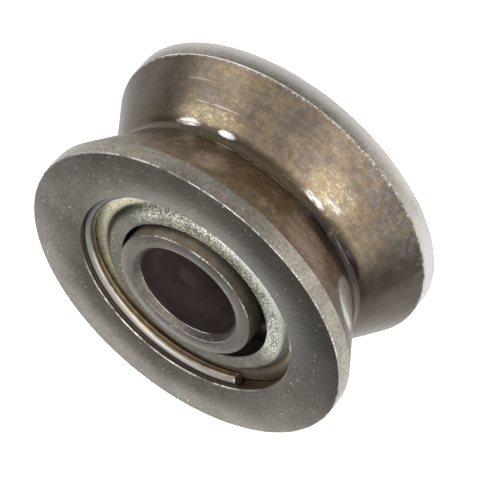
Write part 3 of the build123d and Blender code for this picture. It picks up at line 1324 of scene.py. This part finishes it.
@dataclass(frozen=True)
class Studio:
    """A white floor, pale surroundings that brighten overhead and behind the camera, and soft lamps."""

    floor_radius: float = 0.8
    floor_sides: int = 96
    floor_drop: float = 0.02 * MM
    floor_glow: float = 0.8
    floor_glow_in_metal: float = 0.28
    floor_colour: Colour = (0.7, 0.7, 0.7)
    surroundings: float = 0.30
    overhead: float = 0.45
    overhead_rise: Span = (0.15, 0.95)
    behind_camera: float = 0.35
    behind_rise: Span = (0.0, 1.0)
    lamps: tuple[SoftBox, ...] = (
        SoftBox("key", 239.0, 34.0, 0.14, 0.13, 0.06, 1.5),
        SoftBox("top", 285.0, 66.0, 0.14, 0.09, 0.06, 1.2),
        SoftBox("side_left", 345.0, 16.0, 0.14, 0.10, 0.05, 1.1),
        SoftBox("window_right", 182.0, 28.0, 0.15, 0.09, 0.07, 1.6),
        SoftBox("back_low", 90.0, 18.0, 0.045, 0.05, 0.014, 1.6),
    )

    def build(self) -> None:
        """Set up the floor, the surroundings and the lamps."""
        self.floor()
        self.world()
        for lamp in self.lamps:
            lamp.build()

    def floor(self) -> None:
        """Lay a floor that is white to the eye and in reflections, and still takes the wheel's shadow."""
        deselect()
        size = {"vertices": self.floor_sides, "radius": self.floor_radius}
        bpy.ops.mesh.primitive_circle_add(fill_type="NGON", **size)
        floor = bpy.context.object
        floor.name = "floor"
        floor.data.transform(Matrix.Translation((0, 0, CAD_BOX[0].z - self.floor_drop)))
        material = bpy.data.materials.new("white_floor")
        material.use_nodes = True
        tree = Tree(material.node_tree)
        rays = tree.add("LightPath", {}).outputs
        seen = tree.times(tree.plus(rays["Is Camera Ray"], rays["Is Transmission Ray"]), self.floor_glow)
        seen = tree.plus(seen, tree.times(rays["Is Glossy Ray"], self.floor_glow_in_metal))
        paint = tree.add("BsdfDiffuse", {"Color": (*self.floor_colour, 1)})
        glow = tree.add("Emission", {"Strength": seen})
        both = tree.add("AddShader", {0: paint.outputs["BSDF"], 1: glow.outputs["Emission"]})
        tree.add("OutputMaterial", {"Surface": both.outputs["Shader"]})
        floor.data.materials.append(material)

    def world(self) -> None:
        """Fill the surroundings with pale light that grows overhead and behind the camera."""
        world = bpy.data.worlds.new("studio")
        bpy.context.scene.world = world
        world.use_nodes = True
        tree = Tree(world.node_tree)
        way = tree.add("TexCoord", {}).outputs["Generated"]
        overhead = tree.span(tree.vector("DOT_PRODUCT", way, (0, 0, 1)), *self.overhead_rise)
        behind = tree.span(tree.vector("DOT_PRODUCT", way, (0, -1, 0)), *self.behind_rise)
        glow = tree.plus(tree.times(overhead, self.overhead), tree.times(behind, self.behind_camera))
        glow = tree.plus(glow, self.surroundings)
        light = tree.add("Background", {"Color": (1, 1, 1, 1), "Strength": glow})
        tree.add("OutputWorld", {"Surface": light.outputs["Background"]})


def outer_finishes() -> dict[Zone, Material]:
    """Make the finishes of the outer ring's surfaces."""
    face = TurnedSteel(
        "face_steel",
        (0.116, 0.103, 0.086),
        (0.166, 0.148, 0.125),
        speck_share=0.70,
        # Painted shade: the face darkened on two stretches of its rim.
        stretches=(Stretch(226.0, 35.0, 30.0, 0.49), Stretch(316.0, 14.0, 16.0, 0.82)),
    )
    land = TurnedSteel(
        "rim_steel",
        (0.150, 0.134, 0.112),
        (0.205, 0.186, 0.158),
        roughness=0.30,
        speck_share=0.16,
        # Painted light: the rim lightened on two sides.
        stretches=(Stretch(0.0, 50.0, 22.0, 1.6), Stretch(202.0, 56.0, 18.0, 2.2)),
        # Painted reflection that pales the lower rim's outer edge.
        low_rim_sheen=0.65,
        coat=0.3,
    )
    bore = SmoothSteel(
        "oily_bore",
        (0.050, 0.035, 0.032),
        (0.130, 0.092, 0.084),
        roughness=0.45,
        metallic=0.3,
        # A lighter patch in the bore; the bore is darkened towards its mouth.
        lighter_patch=Patch(80.0, 16.0, 1.25, 0.30, 0.95, 0.22),
        mouth_gain=0.55,
    )
    return {
        Zone.FACE: face.build(),
        Zone.LAND: land.build(),
        Zone.GROOVE: OilyBronze().build(),
        Zone.RECESS: SmoothSteel("dark_recess", (0.115, 0.086, 0.064), (0.205, 0.158, 0.120), 0.32).build(),
        # Edges with wear and painted beaded highlights.
        Zone.EDGE: WornGlintEdge("rim_edge").build(),
        Zone.RACE: SmoothSteel("ground_race", (0.20, 0.17, 0.13), (0.34, 0.30, 0.24), 0.45, 0.5).build(),
        Zone.BORE: bore.build(),
        # Painted highlight on one side of the recess's edge.
        Zone.MOUTH: WornGlintEdge("recess_edge", Stretch(100.0, 50.0, 20.0), 0.38).build(),
    }


def inner_finishes() -> dict[Zone, Material]:
    """Make the finishes of those of the inner ring's surfaces that differ from the outer ring's."""
    face = TurnedSteel(
        "inner_face_steel",
        (0.138, 0.122, 0.107),
        (0.195, 0.173, 0.152),
        roughness=0.40,
        # Painted shade on one side of the inner ring's face.
        stretches=(Stretch(160.0, 35.0, 30.0, 0.75),),
    )
    race = SmoothSteel(
        "stained_race",
        (0.075, 0.062, 0.049),
        (0.230, 0.195, 0.155),
        roughness=0.45,
        # Painted light on one side of the race.
        stretches=(Stretch(320.0, 42.0, 24.0, 3.0),),
    )
    return {
        Zone.FACE: face.build(),
        Zone.RACE: race.build(),
        # Painted highlights on one side of the bore's chamfer and of the ring's outer edge.
        Zone.EDGE: WornGlintEdge("bore_edge", Stretch(105.0, 60.0, 20.0), 0.38).build(),
        Zone.MOUTH: WornGlintEdge("ground_edge", Stretch(280.0, 60.0, 20.0), 0.44).build(),
    }


def main() -> None:
    """Build and dress every piece, then the studio round them."""
    logging.basicConfig(level=logging.INFO, format="%(name)s: %(message)s")
    bpy.context.scene.view_settings.view_transform = "Standard"
    Camera().build()
    outer = outer_finishes()
    drawn = SpringSteel().build()
    pieces = [
        OuterRing(outer).build(),
        InnerRing(outer | inner_finishes()).build(),
        Shield(Side.UPPER, 170.0).build(),
        Shield(Side.LOWER, 40.0).build(),
        SnapWire(Side.UPPER, 170.0, drawn).build(),
        SnapWire(Side.LOWER, 40.0, drawn).build(),
    ]
    for piece in pieces:
        log.info("built %s with %d faces", piece.name, len(piece.data.polygons))
    hidden_finishes = {
        "ball_": SmoothSteel("ball_steel", (0.20, 0.19, 0.175), (0.30, 0.29, 0.265), 0.12).build(),
        "cage_half": SmoothSteel("cage_steel", (0.13, 0.11, 0.085), (0.22, 0.19, 0.15), 0.40).build(),
        "rivet_": SmoothSteel("rivet_steel", (0.14, 0.12, 0.10), (0.22, 0.195, 0.165), 0.34).build(),
    }
    Bearing(hidden_finishes).dress()
    Studio().build()


if __name__ == "__main__":
    main()
